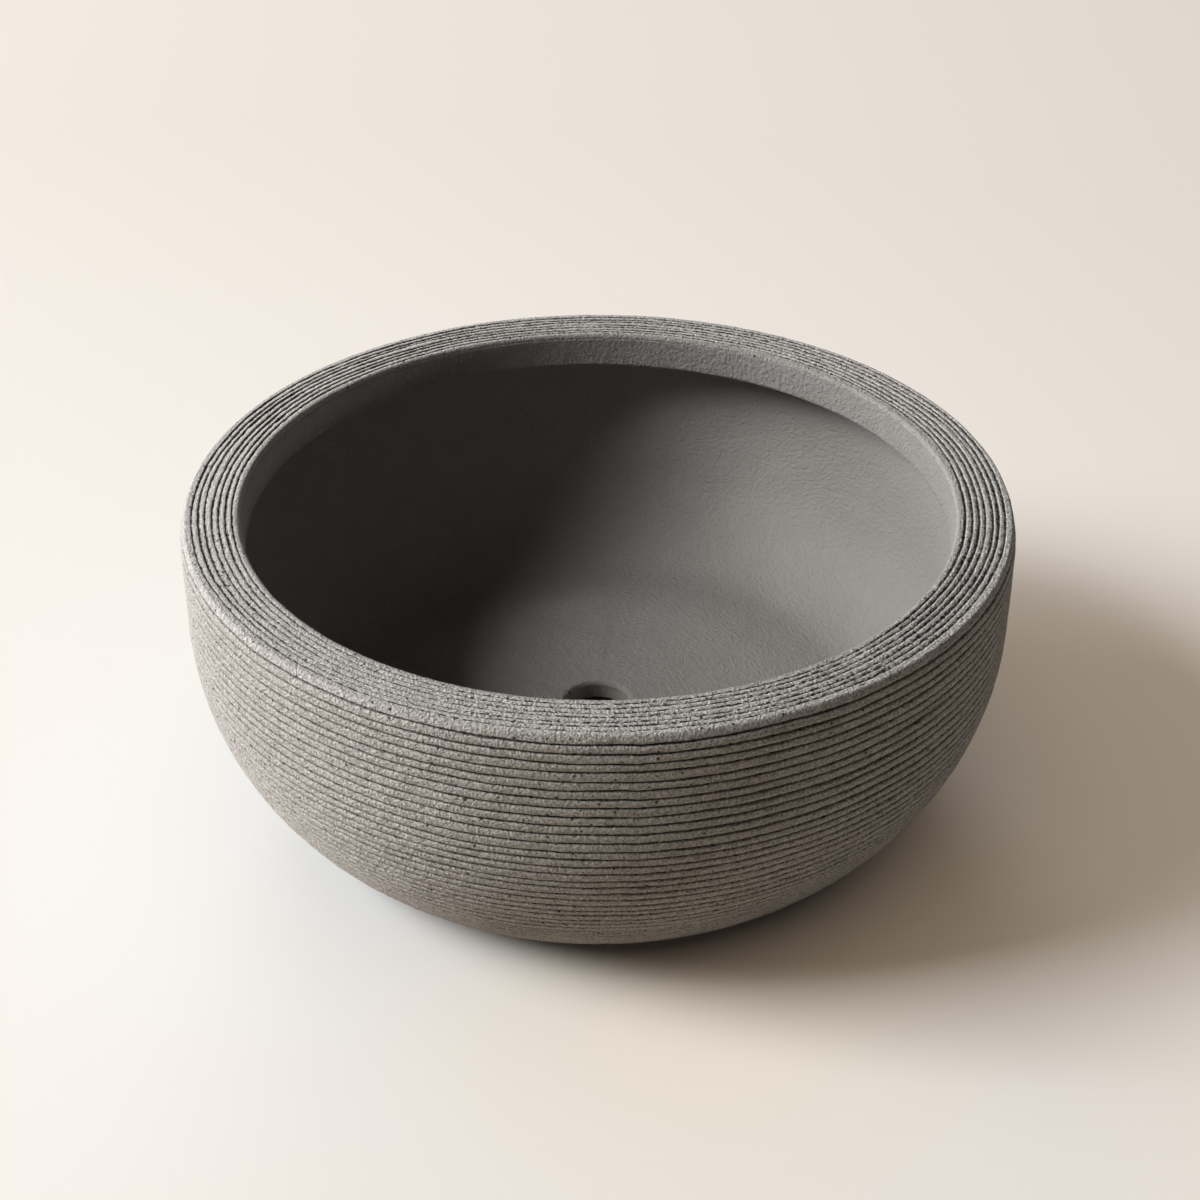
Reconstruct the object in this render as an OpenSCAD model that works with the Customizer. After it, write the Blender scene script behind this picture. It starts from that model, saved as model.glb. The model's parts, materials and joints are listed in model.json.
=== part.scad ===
// Round fibreclay planter bowl, in the layers that it is laid up from in its mould.
// Millimetres, +Z up. The origin is the centre of the foot's underside.

/* [Bowl] */
// Outer diameter of the upright part of the wall
bowl_d = 500; // [440:5:540]
// Height from the ground to the top of the rim
bowl_h = 200; // [185:1:240]
// Height at which the upright wall starts to curve in to the foot
wall_curve_z = 137; // [125:1:150]
// How far the wall has curved in where it meets the ground
draw_in = 72; // [60:1:80]

/* [Inside] */
// Thickness of the upright wall with all its layers
wall_t = 14; // [12:0.5:20]
// Height of the inside floor above the ground
floor_z = 46; // [40:1:56]
// Radius of the cove that turns the floor up into the wall
cove_r = 72; // [60:1:84]
// Radius of the slow curve of the inside wall above the cove
side_r = 224; // [190:2:280]
// Diameter of the drain hole
drain_d = 42; // [24:1:60]
// Radius of the soft upper edge of the drain hole
drain_edge_r = 3; // [1:0.5:5]

/* [Rim] */
// Width of the rim across its top
rim_w = 36; // [30:1:46]
// Height of the smooth band inside the rim
rim_band_h = 22.5; // [18:0.5:30]
// Amount by which the band leans in at its lower edge
rim_band_lean = 2; // [0:0.5:3]
// Radius where the rim's underside meets the wall
rim_under_r = 8; // [3:0.5:12]
// Radius of the rim's soft inner edge
rim_inner_r = 2.4; // [1:0.2:2.8]
// How far the rim's outer edge is rounded off inwards
rim_edge_w = 4; // [3.5:0.1:5]
// How far the rim's outer edge is rounded off downwards
rim_edge_h = 18; // [12:1:24]
// Bevel on the lower edge of the band
band_bevel = 0.8; // [0.3:0.1:0.9]

/* [Foot] */
// Width of the foot ring on the ground
foot_w = 22; // [16:1:30]
// Draft of the recess under the floor, from the ground to its top
recess_draft = 5; // [2:0.5:8]
// Radius between the recess wall and the underside of the floor
recess_r = 10; // [5:1:14]
// Bevel on the lower edge of the face coat
foot_bevel = 3; // [1:0.5:3.5]

/* [Combed grooves] */
// Distance between grooves on the wall, measured along it
wall_pitch = 5.8; // [5:0.1:9]
// Distance between grooves on top of the rim
rim_pitch = 3.8; // [3.2:0.1:6]
// Width of a wall groove at the surface
wall_groove_w = 2; // [1.2:0.1:3]
// Width of a rim groove at the surface
rim_groove_w = 1.5; // [1:0.1:2.5]
// Depth of the wall grooves
wall_groove_depth = 1.4; // [0.6:0.1:1.8]
// Depth of the rim grooves
rim_groove_depth = 1; // [0.6:0.1:1.6]
// Height left plain between the rim's top and the uppermost wall groove
edge_land = 5; // [4:0.5:8]
// Plain band left above the foot, measured along the wall
foot_band = 26; // [8:1:40]
// Plain land between the rim's inner edge and its first groove
rim_land = 4; // [3.5:0.1:6]

/* [Layers] */
// Thickness of the combed face coat
face_t = 3; // [2.5:0.1:3.4]
// Thickness of the smooth coat inside
inner_coat_t = 1; // [0.6:0.1:1.6]
// Thickness of the clay layer between the inner coat and the glass mat
inner_clay_t = 2.5; // [2:0.1:4]
// Thickness of the pressed glass mat
mat_t = 1; // [0.6:0.1:1.4]
// Thickness of the clay disc under the floor mat
floor_clay_t = 7.5; // [5:0.5:10]
// Height to which the clay packed into the haunch is feathered out
haunch_top_z = 130; // [110:1:140]
// Height at which the face coat stops above the ground
face_lift = 2; // [2:0.5:4]
// How far the rim's own strip of mat hangs down the wall
rim_mat_drop = 16; // [12:1:24]

/* [Hidden] */
$fn = 96;

// Room that a cutting solid takes past the faces that it cuts
over = 2;
// Turn of one straight step in a rounded outline, in degrees
arc_step = 4;
// Share of a groove's width that is flat at its bottom
groove_flat = 0.35;

wall_r = bowl_d / 2;
foot_r = wall_r - draw_in;
// One arc draws the wall in. It is tangent to the upright wall and ends at the foot.
wall_curve_r = (draw_in * draw_in + wall_curve_z * wall_curve_z) / (2 * draw_in);
wall_curve_x = wall_r - wall_curve_r;
upright_top = bowl_h - rim_edge_h;
upright_len = upright_top - wall_curve_z;
wall_len = upright_len + arc_length(wall_curve_r, wall_arc_end(0));

rim_in_r = wall_r - rim_w;
band_low_r = rim_in_r - rim_band_lean;
under_rim_z = bowl_h - rim_band_h;
drain_r = drain_d / 2;

// The inside wall is upright at side_z and curves in from there, and the cove takes over from it
inside_r = wall_r - wall_t;
side_x = inside_r - side_r;
side_z = under_rim_z - rim_under_r;
cove_z = floor_z + cove_r;
cove_x = side_x + sqrt(pow(side_r - cove_r, 2) - pow(side_z - cove_z, 2));
// Turn of the cove, from level at the floor's edge to where it is tangent to the side
cove_turn = atan2(cove_x - side_x, side_z - cove_z);

// Faces between the layers, measured outwards from the bowl's inside surface
clay_in = inner_coat_t;
mat_in = clay_in + inner_clay_t;
mat_out = mat_in + mat_t;
face_under_z = bowl_h - face_t;
core_low_z = under_rim_z + mat_out;
rim_mat_low_z = under_rim_z - rim_mat_drop;
wall_clay_t = wall_t - face_t - mat_out;
recess_z = floor_z - mat_out - floor_clay_t;
recess_low_r = foot_r - foot_w;
recess_top_r = recess_low_r - recess_draft;
floor_clay_r = recess_top_r - recess_r;

// Height of the uppermost wall groove above the start of the rounded edge
wall_groove_rise = rim_edge_h - edge_land;
wall_groove_n = 1 + floor((wall_groove_rise + wall_len - foot_band) / wall_pitch);
rim_groove_n = 1 + floor((rim_w - rim_edge_w - rim_land - rim_groove_w / 2) / rim_pitch);

function arc_length(r, angle) = r * angle * PI / 180;

// Angle below level at which the wall's arc, sunk by depth, comes down to height z
function wall_arc_end(depth, z = 0) = asin((wall_curve_z - z) / (wall_curve_r - depth));

// Points of an arc about [cx, cz], which may be wider one way than the other
function arc(cx, cz, rx, rz, from, to) =
    let (n = max(2, ceil(abs(to - from) / arc_step)))
    [for (i = [0:n]) let (a = from + (to - from) * i / n) [cx + rx * cos(a), cz + rz * sin(a)]];

// Rounded outer edge of the rim, sunk by depth, from an angle above level up to the top face
function rim_edge(depth, from = 0) =
    arc(wall_r - rim_edge_w, upright_top, rim_edge_w - depth, rim_edge_h - depth, from, 90);

// Half outline of the whole bowl as if it were solid, sunk by depth under its outer surface
function body_outline(depth, low_z = 0) = concat(
    [[0, low_z]],
    arc(wall_curve_x, wall_curve_z, wall_curve_r - depth, wall_curve_r - depth,
        -wall_arc_end(depth, low_z), 0),
    rim_edge(depth),
    [[0, bowl_h - depth]]);

// Half outline of the bowl's inside and its mouth, grown outwards by depth
function inside_outline(depth) = concat(
    [[0, floor_z - depth]],
    arc(cove_x, cove_z, cove_r + depth, cove_r + depth, -90, cove_turn - 90),
    rest(arc(side_x, side_z, side_r + depth, side_r + depth, cove_turn - 90, 0)),
    rest(arc(inside_r - rim_under_r, side_z, rim_under_r + depth, rim_under_r + depth, 0, 90)),
    band_edge(depth),
    [[rim_in_r + depth, bowl_h - rim_inner_r], [rim_in_r + depth, bowl_h + over],
     [0, bowl_h + over]]);

// Lower edge of the band, bevelled only where it shows
function band_edge(depth) =
    depth < band_bevel ? [[band_low_r + band_bevel, under_rim_z], [band_low_r, under_rim_z + band_bevel]] :
    [[band_low_r + depth, under_rim_z + depth]];

// Point of the wall at length s below the start of the rounded edge, sunk by depth
function wall_point(s, depth) =
    s < 0 ? let (a = asin(-s / rim_edge_h)) [wall_r - rim_edge_w + (rim_edge_w - depth) * cos(a), upright_top - s] :
    s < upright_len ? [wall_r - depth, upright_top - s] :
    let (a = (s - upright_len) / arc_length(wall_curve_r, 1), r = wall_curve_r - depth)
        [wall_curve_x + r * cos(a), wall_curve_z - r * sin(a)];

// The four corners of one wall groove, from its lower edge to its upper edge
function wall_groove(s) = [for (c = [[0.5, 0], [0.5 * groove_flat, 1], [-0.5 * groove_flat, 1], [-0.5, 0]])
    wall_point(s + c[0] * wall_groove_w, c[1] * wall_groove_depth)];

// The four corners of one groove in the top of the rim, from outside to inside
function rim_groove(r) = [for (c = [[0.5, 0], [0.5 * groove_flat, 1], [-0.5 * groove_flat, 1], [-0.5, 0]])
    [r + c[0] * rim_groove_w, bowl_h - c[1] * rim_groove_depth]];

function joined(lists) = [for (list = lists) for (point = list) point];

// A list of points without its first, which the list before it already ends with
function rest(points) = [for (i = [1:len(points) - 1]) points[i]];

// Half outline of the combed surface, from the foot up the wall and in across the rim
function combed_outline() = concat(
    [[0, face_lift], wall_at(face_lift) - [foot_bevel, 0], wall_at(face_lift + foot_bevel)],
    joined([for (i = [wall_groove_n - 1:-1:0]) wall_groove(i * wall_pitch - wall_groove_rise)]),
    rim_edge(0, asin((wall_groove_rise + wall_groove_w) / rim_edge_h)),
    joined([for (i = [rim_groove_n - 1:-1:0]) rim_groove(rim_in_r + rim_land + i * rim_pitch)]),
    arc(rim_in_r + rim_inner_r, bowl_h - rim_inner_r, rim_inner_r, rim_inner_r, 90, 180),
    [[rim_in_r, bowl_h - face_t - over], [0, bowl_h - face_t - over]]);

// Point of the wall's arc at height z
function wall_at(z) =
    let (a = wall_arc_end(0, z)) [wall_curve_x + wall_curve_r * cos(a), z];

module turned(outline) {
    rotate_extrude() polygon(outline);
}

// Space above a height, across the whole bowl
module above(z) {
    translate([0, 0, z]) cylinder(r = wall_r + over, h = bowl_h + over);
}

// Drain hole with its soft upper edge
module drain_cut() {
    turned(concat(
        [[0, -over], [drain_r, -over]],
        arc(drain_r + drain_edge_r, floor_z - drain_edge_r, drain_edge_r, drain_edge_r, 180, 90),
        [[drain_r + drain_edge_r, floor_z + over], [0, floor_z + over]]));
}

// Hollow under the floor, inside the foot ring
module recess_cut() {
    turned(concat(
        [[0, -over], [recess_low_r, -over], [recess_low_r, 0]],
        arc(floor_clay_r, recess_z - recess_r, recess_r, recess_r, 0, 90),
        [[0, recess_z]]));
}

// One layer that follows the bowl's inside between two depths
module lining(from, to) {
    difference() {
        turned(inside_outline(to));
        turned(inside_outline(from));
        above(face_under_z);
        drain_cut();
    }
}

// Combed outer coat on the wall and on top of the rim
module face_coat() {
    color([0.56, 0.52, 0.48])
    difference() {
        turned(combed_outline());
        turned(body_outline(face_t, -over));
        turned(inside_outline(0));
    }
}

// Clay layer of the wall, behind the face coat, down to the ground
module wall_clay() {
    color([0.47, 0.44, 0.41])
    difference() {
        turned(body_outline(face_t));
        turned(inside_outline(mat_out));
        above(core_low_z);
        haunch_space();
        recess_cut();
    }
}

// Space inside the wall's clay layer, up to the feathered top of the haunch
module haunch_space() {
    intersection() {
        turned(body_outline(face_t + wall_clay_t, -over));
        translate([0, 0, -over]) cylinder(r = wall_r, h = haunch_top_z + over);
    }
}

// Clay packed between the wall and the cove, with the inner part of the foot ring
module haunch_core() {
    color([0.45, 0.43, 0.41])
    difference() {
        haunch_space();
        turned(inside_outline(mat_out));
        recess_cut();
        cylinder(r = floor_clay_r, h = cove_z);
        mirror([0, 0, 1]) cylinder(r = wall_r, h = 2 * over);
    }
}

// Disc of clay under the floor mat
module floor_clay() {
    color([0.46, 0.43, 0.4])
    difference() {
        translate([0, 0, recess_z]) cylinder(r = floor_clay_r, h = floor_clay_t);
        drain_cut();
    }
}

// Ring of clay packed into the thick rim
module rim_core() {
    color([0.44, 0.42, 0.4])
    difference() {
        intersection() {
            turned(body_outline(face_t));
            above(core_low_z);
        }
        turned(inside_outline(mat_out));
    }
}

// Glass mat of the wall and the cove
module wall_mat() {
    color([0.86, 0.87, 0.82])
    difference() {
        lining(mat_in, mat_out);
        above(rim_mat_low_z);
        cylinder(r = cove_x, h = cove_z);
    }
}

// Strip of glass mat folded round the inside of the rim
module rim_mat() {
    color([0.8, 0.83, 0.8])
    intersection() {
        lining(mat_in, mat_out);
        above(rim_mat_low_z);
    }
}

// Disc of glass mat in the floor
module floor_mat() {
    color([0.83, 0.85, 0.8])
    intersection() {
        lining(mat_in, mat_out);
        cylinder(r = cove_x, h = cove_z);
    }
}

// Clay layer that covers the glass mat inside
module inner_clay() {
    color([0.5, 0.47, 0.44])
    lining(clay_in, mat_in);
}

// Smooth trowelled coat of the inside and of the rim's band
module inner_coat() {
    color([0.42, 0.4, 0.38])
    lining(0, clay_in);
}

face_coat();
wall_clay();
haunch_core();
rim_core();
floor_clay();
wall_mat();
rim_mat();
floor_mat();
inner_clay();
inner_coat();
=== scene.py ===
"""Looks of the round combed planter bowl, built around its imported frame. Metres, +Z up."""

import json
import math

import bpy
import numpy as np
from mathutils import Matrix, Vector


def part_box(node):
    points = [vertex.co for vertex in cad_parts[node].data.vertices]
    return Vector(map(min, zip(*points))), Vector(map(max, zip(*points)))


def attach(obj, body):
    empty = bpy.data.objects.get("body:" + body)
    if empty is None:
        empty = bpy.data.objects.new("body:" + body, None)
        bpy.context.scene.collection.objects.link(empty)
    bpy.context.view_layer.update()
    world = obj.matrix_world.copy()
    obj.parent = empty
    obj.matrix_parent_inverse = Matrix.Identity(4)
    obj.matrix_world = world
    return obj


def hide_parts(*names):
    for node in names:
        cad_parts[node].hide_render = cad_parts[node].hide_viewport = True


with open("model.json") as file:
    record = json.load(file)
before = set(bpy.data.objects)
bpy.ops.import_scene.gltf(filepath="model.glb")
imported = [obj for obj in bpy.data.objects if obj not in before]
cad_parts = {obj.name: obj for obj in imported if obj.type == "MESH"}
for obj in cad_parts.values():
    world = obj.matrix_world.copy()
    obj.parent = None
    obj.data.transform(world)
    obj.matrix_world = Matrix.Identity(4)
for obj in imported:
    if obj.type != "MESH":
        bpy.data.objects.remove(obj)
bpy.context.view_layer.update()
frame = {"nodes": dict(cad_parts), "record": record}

MM = 0.001
FULL_TURN = 2 * math.pi

# Sizes of the bowl, from the frame where it holds them
face_low, face_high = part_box("face_coat")
inner_low, inner_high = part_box("inner_coat")
mounts = {mount["name"]: mount for mount in frame["record"]["mounts"]}
wall_r = face_high.x
rim_top = face_high.z
face_low_z = face_low.z
drain_r = mounts["drain_hole"]["dims"]["r_mm"] * MM
inner_coat_t = 1 * MM
floor_z = inner_low.z + inner_coat_t
band_top_z = inner_high.z
face_t = rim_top - band_top_z

# Sizes that give the outline its shape
wall_curve_z = 137 * MM
draw_in = 72 * MM
wall_t = 14 * MM
rim_w = 36 * MM
rim_band_h = 22.5 * MM
rim_band_lean = 2 * MM
rim_under_r = 8 * MM
rim_inner_r = 2.4 * MM
rim_edge_w = 4 * MM
rim_edge_h = 18 * MM
band_bevel = 0.8 * MM
cove_r = 72 * MM
side_r = 224 * MM
drain_edge_r = 3 * MM
foot_bevel = 3 * MM

wall_curve_r = (draw_in ** 2 + wall_curve_z ** 2) / (2 * draw_in)
wall_curve_x = wall_r - wall_curve_r
rim_in_r = wall_r - rim_w
band_low_r = rim_in_r - rim_band_lean
under_rim_z = rim_top - rim_band_h
upright_top = rim_top - rim_edge_h

# The inside wall is upright at side_z and curves in from there, and the cove takes over from it
inside_r = wall_r - wall_t
side_x = inside_r - side_r
side_z = under_rim_z - rim_under_r
cove_z = floor_z + cove_r
cove_x = side_x + math.sqrt((side_r - cove_r) ** 2 - (side_z - cove_z) ** 2)
cove_turn = math.degrees(math.atan2(cove_x - side_x, side_z - cove_z))

# The combing: from groove to groove, the first one's place, the room after the last, and the depth
WALL_PITCH = 5.84 * MM
WALL_FIRST = -12.9 * MM
WALL_LAST = 9 * MM
RIM_PITCH = 3.85 * MM
RIM_FIRST = 3.2 * MM
WALL_DEPTH = 1.5 * MM
RIM_DEPTH = 0.95 * MM

# How far the coat lies inside the source's outline, and how high a ridge swells between its grooves
SUNK = 0.34 * MM
RIM_CROWN = 0.06 * MM
WALL_CROWN = 0.12 * MM

# Near the foot the ridges swell more, and the grooves grow wider. It starts at this share of the wall
FOOT_START = 0.7
FOOT_CROWN = 0.4 * MM
FOOT_WIDENING = 0.4

# Where the stronger painted shade in the grooves near the foot, with fewer pits and grains, begins above
# its end, and the length over which it grows
FOOT_FROM = 80 * MM
FOOT_SPREAD = 55 * MM

# Across one groove: how far from its middle in millimetres, and the share of its depth there
WALL_SECTION = ((-1.15, 0.03), (-0.70, 0.22), (-0.42, 0.92), (0, 1.0),
                (0.42, 0.92), (0.70, 0.22), (1.15, 0.03))
RIM_SECTION = ((-0.66, 0.36), (-0.46, 0.50), (-0.28, 0.95), (0, 1.0),
               (0.28, 0.90), (0.44, 0.06), (0.66, -0.26))

# The share of its depth from which a groove gets painted shade, and how much that share falls at the foot
DARK_DEPTH = 0.5
FOOT_DARKER = 0.35

# Rows of points on each ridge of the rim and of the wall
RIM_LAND_ROWS = 1
WALL_LAND_ROWS = 2

# Where rows lie beside the combing, as shares of the way, and how much of the rim's look its edge has
CORNER_SHARES = np.linspace(0, 0.92, 11)
EDGE_SHARES = np.linspace(0, 1, 10)[1:-1]
FOOT_SHARES = np.linspace(0, 1, 10)[1:]
EDGE_AS_RIM = 0.6

# Bands of noise round the ring: size, lowest and highest count of waves, and how fast high waves fade.
# Those of the drift and of each groove's own path are in millimetres
RIM_DRIFT = ((0.4, 2, 12, 1.0),)
RIM_OWN = ((0.18, 3, 26, 1.0), (0.06, 26, 150, 0.4))
RIM_WIDTH = ((0.13, 4, 60, 0.5), (0.17, 120, 420, 0.0))
RIM_DASHES = ((0.22, 3, 40, 0.6), (0.16, 60, 200, 0.2))
WALL_DRIFT_HIGH = ((0.45, 1, 8, 1.0), (0.15, 8, 36, 1.0))
WALL_DRIFT_LOW = ((0.55, 1, 8, 1.0), (0.22, 8, 36, 1.0))
WALL_OWN = ((0.17, 3, 22, 1.0), (0.055, 22, 130, 0.4))
WALL_WIDTH = ((0.13, 4, 60, 0.5), (0.08, 120, 420, 0.0))
WALL_PATCHES = ((1.0, 2, 20, 1.0),)
WALL_DASHES = ((0.15, 3, 100, 0.5),)

# Humps round the ring: size, and middle and width in degrees. Those of drift and seams are in millimetres
RIM_HUMPS = ((-0.8, -40, 18), (1.3, 15, 20), (0.35, -88, 4), (-0.8, 169, 20))
RIM_WIDENED = ((0.32, -32, 42),)
RIM_FAINT = ((0.62, -122, 24),)
WALL_SEAMS = ((0.4, -85, 1.2), (-0.3, 31, 1.5), (0.4, 140, 1.3))
WALL_WIDENED = ((0.28, -52, 30),)
SCRATCHED = ((0.9, -50, 34), (0.25, 60, 50), (0.25, 150, 30))
PITTED = ((1.0, -140, 45),)
# Painted highlight on the rim, on the side towards the lamps: paler clay at its left and far left
PAINTED_LIGHT_HUMPS = ((1.0, 150, 70),)

# Scatter of the grooves in millimetres, and the least and the most of what varies from one to the next
RIM_SCATTER = 0.25
WALL_SCATTER = 0.3
RIM_STRENGTH = (0.3, 1.4)
WALL_STRENGTH = (0.45, 1.3)
WALL_PATCH = (0, 1.5)
SEAM_SHARE = (0.3, 1.2)

# Unevenness of a surface in millimetres: the size of each layer, and its cells round the ring and across
FACE_UNEVEN = ((0.07, 480, 70), (0.09, 90, 18))
INSIDE_UNEVEN = ((0.16, 36, 8), (0.07, 100, 24))
RIM_ROUGH = 0.05
FACE_LIMIT = 0.25 * MM
INSIDE_LIMIT = 0.5 * MM

# The inside: the band under the rim along its outline, and the lengths over which its unevenness fades in
BAND_LENGTH = 22 * MM
TOP_FADE = 3 * MM
BORE_FADE = 8 * MM

# The dip in the floor and the darker ring of painted shade in the crease: how far in from the cove's
# foot, and how wide
DIP = 0.7 * MM
DIP_IN = 22 * MM
DIP_SPREAD = 13 * MM
RING_IN = 10 * MM
RING_SPREAD = 19 * MM

# The chips in the drain hole's edge: their number, and the least and the most of each size in millimetres
CHIPS = 9
CHIP_WIDTH = (1.0, 2.4)
CHIP_REACH = (1.6, 3.2)
CHIP_DEPTH = (0.5, 0.85)

# Points round the ring, outside and inside
AZIMUTHS = 960
INSIDE_AZIMUTHS = 600
SEED = 11


# Outlines. The last number of each arc and straight line is its count of points

def arc(cx, cz, rx, rz, start, end, count):
    """Points of an arc about (cx, cz), from start to end in degrees."""
    turn = np.radians(np.linspace(start, end, count))
    return np.stack([cx + rx * np.cos(turn), cz + rz * np.sin(turn)], -1)


def straight(start, end, count):
    """Points of a straight line, with both ends."""
    share = np.linspace(0, 1, count)[:, None]
    return np.array(start) * (1 - share) + np.array(end) * share


def joined(*pieces):
    """One outline from several, without the points that they share."""
    points = [pieces[0]]
    for piece in pieces[1:]:
        repeats = np.allclose(points[-1][-1], piece[0], atol=1e-9)
        points.append(piece[1:] if repeats else piece)
    return np.concatenate(points)


class Outline:
    """A half outline that gives points and outward normals by its length from the first point."""

    def __init__(self, points, flip=False):
        self.points = points
        steps = np.hypot(*np.diff(points, axis=0).T)
        self.length = np.concatenate([[0], np.cumsum(steps)])
        along = np.gradient(points, self.length, axis=0)
        along /= np.linalg.norm(along, axis=1)[:, None]
        side = -1 if flip else 1
        self.normals = side * np.stack([along[:, 1], -along[:, 0]], -1)

    def at(self, length, height):
        """Radius and height of the points that stand height above the outline."""
        r = np.interp(length, self.length, self.points[:, 0])
        z = np.interp(length, self.length, self.points[:, 1])
        nr = np.interp(length, self.length, self.normals[:, 0])
        nz = np.interp(length, self.length, self.normals[:, 1])
        size = np.hypot(nr, nz)
        return r + height * nr / size, z + height * nz / size


# Seeded irregularity

def ring_noise(rng, azimuth, lowest, highest, fall):
    """Smooth noise round the ring with a spread of one. lowest and highest count its waves."""
    waves = np.arange(lowest, highest + 1)
    sizes = rng.normal(size=len(waves)) / waves ** fall
    phases = rng.uniform(0, FULL_TURN, len(waves))
    total = (sizes[:, None] * np.cos(waves[:, None] * azimuth[None, :] + phases[:, None])).sum(0)
    return total / total.std()


def field_noise(rng, u, v, cells_u, cells_v):
    """Smooth noise over a surface. u runs round the ring from 0 to 1, and v from 0 to 1 across it."""
    grid = rng.normal(size=(cells_v + 2, cells_u))
    column = u * cells_u
    row = np.clip(v, 0, 1) * cells_v
    column_low = np.floor(column).astype(int)
    row_low = np.floor(row).astype(int)
    a = column - column_low
    b = row - row_low
    a = a * a * (3 - 2 * a)
    b = b * b * (3 - 2 * b)
    left = column_low % cells_u
    right = (column_low + 1) % cells_u
    low = grid[row_low, left] * (1 - a) + grid[row_low, right] * a
    high = grid[row_low + 1, left] * (1 - a) + grid[row_low + 1, right] * a
    return low * (1 - b) + high * b


def waver(rng, azimuth, bands):
    """The sum of several bands of noise round the ring."""
    return sum(size * ring_noise(rng, azimuth, lowest, highest, fall)
               for size, lowest, highest, fall in bands)


def uneven(rng, u, v, layers):
    """The sum of several layers of noise over a surface."""
    return sum(size * field_noise(rng, u, v, cells_u, cells_v) for size, cells_u, cells_v in layers)


def swells(azimuth, humps):
    """The sum of soft humps round the ring."""
    total = np.zeros_like(azimuth)
    for size, middle, width in humps:
        away = np.degrees(np.angle(np.exp(1j * (azimuth - math.radians(middle)))))
        total += size * np.exp(-(away / width) ** 2)
    return total


# Meshes

def ring_mesh(name, radius, height, outward, marks):
    """A closed ring from rows of radius and height, which go once round the section.
    outward says which way the rows run. marks are numbers kept on each point, by name."""
    rows, columns = radius.shape
    azimuth = np.linspace(0, FULL_TURN, columns, endpoint=False)
    points = np.stack([radius * np.cos(azimuth), radius * np.sin(azimuth), height], -1)
    row = np.arange(rows)[:, None]
    column = np.arange(columns)[None, :]
    next_row = (row + 1) % rows
    next_column = (column + 1) % columns
    corners = [row * columns + column, row * columns + next_column,
               next_row * columns + next_column, next_row * columns + column]
    if not outward:
        corners.reverse()
    faces = np.stack([np.broadcast_to(corner, (rows, columns)) for corner in corners], -1)
    mesh = bpy.data.meshes.new(name)
    mesh.vertices.add(rows * columns)
    mesh.vertices.foreach_set("co", points.reshape(-1).astype(np.float32))
    mesh.loops.add(rows * columns * 4)
    mesh.loops.foreach_set("vertex_index", faces.reshape(-1).astype(np.int32))
    mesh.polygons.add(rows * columns)
    mesh.polygons.foreach_set("loop_start", np.arange(0, rows * columns * 4, 4, dtype=np.int32))
    mesh.update(calc_edges=True)
    mesh.shade_smooth()
    for mark, values in marks.items():
        layer = mesh.attributes.new(mark, "FLOAT", "POINT")
        layer.data.foreach_set("value", values.reshape(-1).astype(np.float32))
    add_bake_map(mesh, radius, height, faces, rows, columns)
    piece = bpy.data.objects.new(name, mesh)
    bpy.context.scene.collection.objects.link(piece)
    return piece


def add_bake_map(mesh, radius, height, faces, rows, columns):
    """Lays the ring out flat for a bake: round the ring along U, round the section along V."""
    r = np.append(radius.mean(1), radius[0].mean())
    z = np.append(height.mean(1), height[0].mean())
    length = np.concatenate([[0], np.cumsum(np.hypot(np.diff(r), np.diff(z)))])
    low = np.broadcast_to((length[:-1] / length[-1])[:, None], (rows, columns))
    high = np.broadcast_to((length[1:] / length[-1])[:, None], (rows, columns))
    left = np.broadcast_to((np.arange(columns) / columns)[None, :], (rows, columns))
    right = left + 1 / columns
    here = faces[..., 0] == (np.arange(rows)[:, None] * columns + np.arange(columns)[None, :])
    u = [left, right, right, left]
    v = [low, low, high, high]
    if not here.all():
        u.reverse()
        v.reverse()
    places = np.stack([np.stack(u, -1), np.stack(v, -1)], -1)
    layer = mesh.uv_layers.new(name="OFBake")
    layer.uv.foreach_set("vector", places.reshape(-1).astype(np.float32))


def smooth_outline():
    """The outside without its grooves, from the rim's inner corner over the rim down to the foot."""
    foot_angle = math.degrees(math.asin((wall_curve_z - face_low_z - foot_bevel) / wall_curve_r))
    corner = arc(rim_in_r + rim_inner_r, rim_top - rim_inner_r, rim_inner_r, rim_inner_r, 180, 90, 13)
    top = straight((rim_in_r + rim_inner_r, rim_top), (wall_r - rim_edge_w, rim_top), 60)
    edge = arc(wall_r - rim_edge_w, upright_top, rim_edge_w, rim_edge_h, 90, 0, 60)
    upright = straight((wall_r, upright_top), (wall_r, wall_curve_z), 60)
    curve = arc(wall_curve_x, wall_curve_z, wall_curve_r, wall_curve_r, 0, -foot_angle, 200)
    outline = Outline(joined(corner, top, edge, upright, curve), flip=True)
    starts = [outline.length[len(corner) - 1]]
    starts.append(outline.length[len(corner) + len(top) - 2])
    starts.append(outline.length[len(corner) + len(top) + len(edge) - 3])
    return outline, starts


def rim_grooves(rng, azimuth, start, end):
    """Middle, width and strength of each groove in the rim's top, round the ring."""
    drift = (swells(azimuth, RIM_HUMPS) + waver(rng, azimuth, RIM_DRIFT)) * MM
    widened = 1 + swells(azimuth, RIM_WIDENED)
    faint = 1 - swells(azimuth, RIM_FAINT)
    grooves = []
    for k in range(int((end - start - RIM_FIRST) / RIM_PITCH) + 1):
        own = waver(rng, azimuth, RIM_OWN) * MM
        middle = start + RIM_FIRST + k * RIM_PITCH + rng.normal(0, RIM_SCATTER) * MM + drift + own
        width = np.exp(waver(rng, azimuth, RIM_WIDTH)) * widened
        strength = faint * np.clip(1 + waver(rng, azimuth, RIM_DASHES), *RIM_STRENGTH)
        grooves.append((middle, width, strength))
    return grooves


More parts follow.
